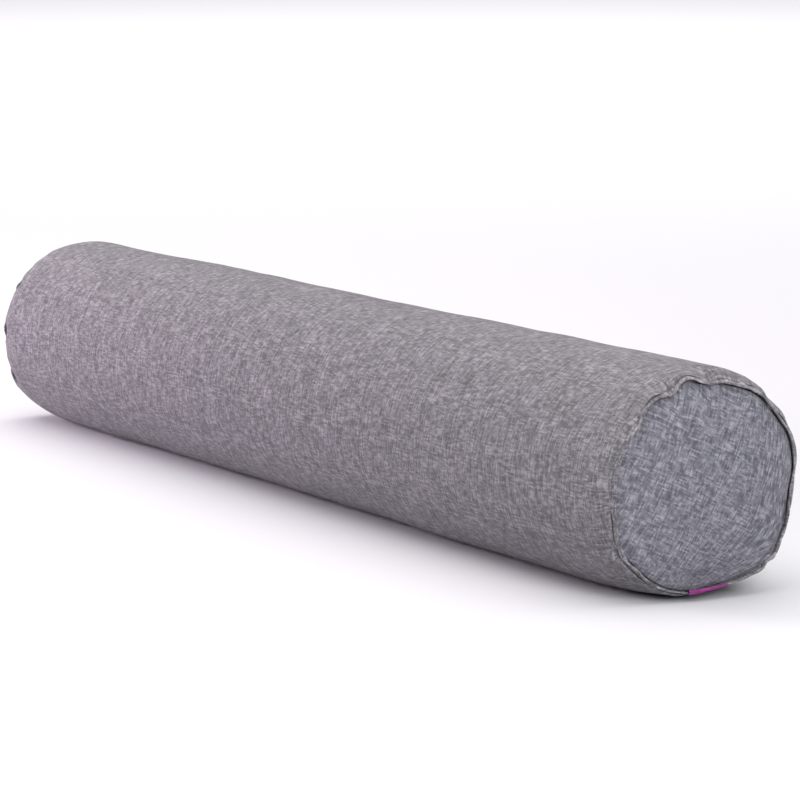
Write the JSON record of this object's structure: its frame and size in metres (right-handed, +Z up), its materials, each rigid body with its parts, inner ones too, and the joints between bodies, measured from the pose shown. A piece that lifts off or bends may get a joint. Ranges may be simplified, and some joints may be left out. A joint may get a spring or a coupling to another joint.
{
  "type": "body pillow, a long round bolster",
  "caption": "Long firm round bolster pillow in grey linen-look cloth, with drawn-in round ends, a raised seam ridge at each end and a small magenta side label.",
  "frame": {"origin": "middle of the footprint, on the surface that the bolster lies on", "axes": "+X along the bolster towards the labelled end, +Z up"},
  "size_m": [1.2194, 0.2, 0.1928],
  "materials": {
    "linen_cloth": "matte grey melange plain weave with slubs",
    "label_ribbon": "magenta woven ribbon with a soft sheen"
  },
  "bodies": {
    "root": {"tube": "linen_cloth", "end_panel_near": "linen_cloth", "end_panel_far": "linen_cloth", "seam_ridge_near": "linen_cloth", "seam_ridge_far": "linen_cloth", "side_label": "label_ribbon"}
  },
  "joints": []
}
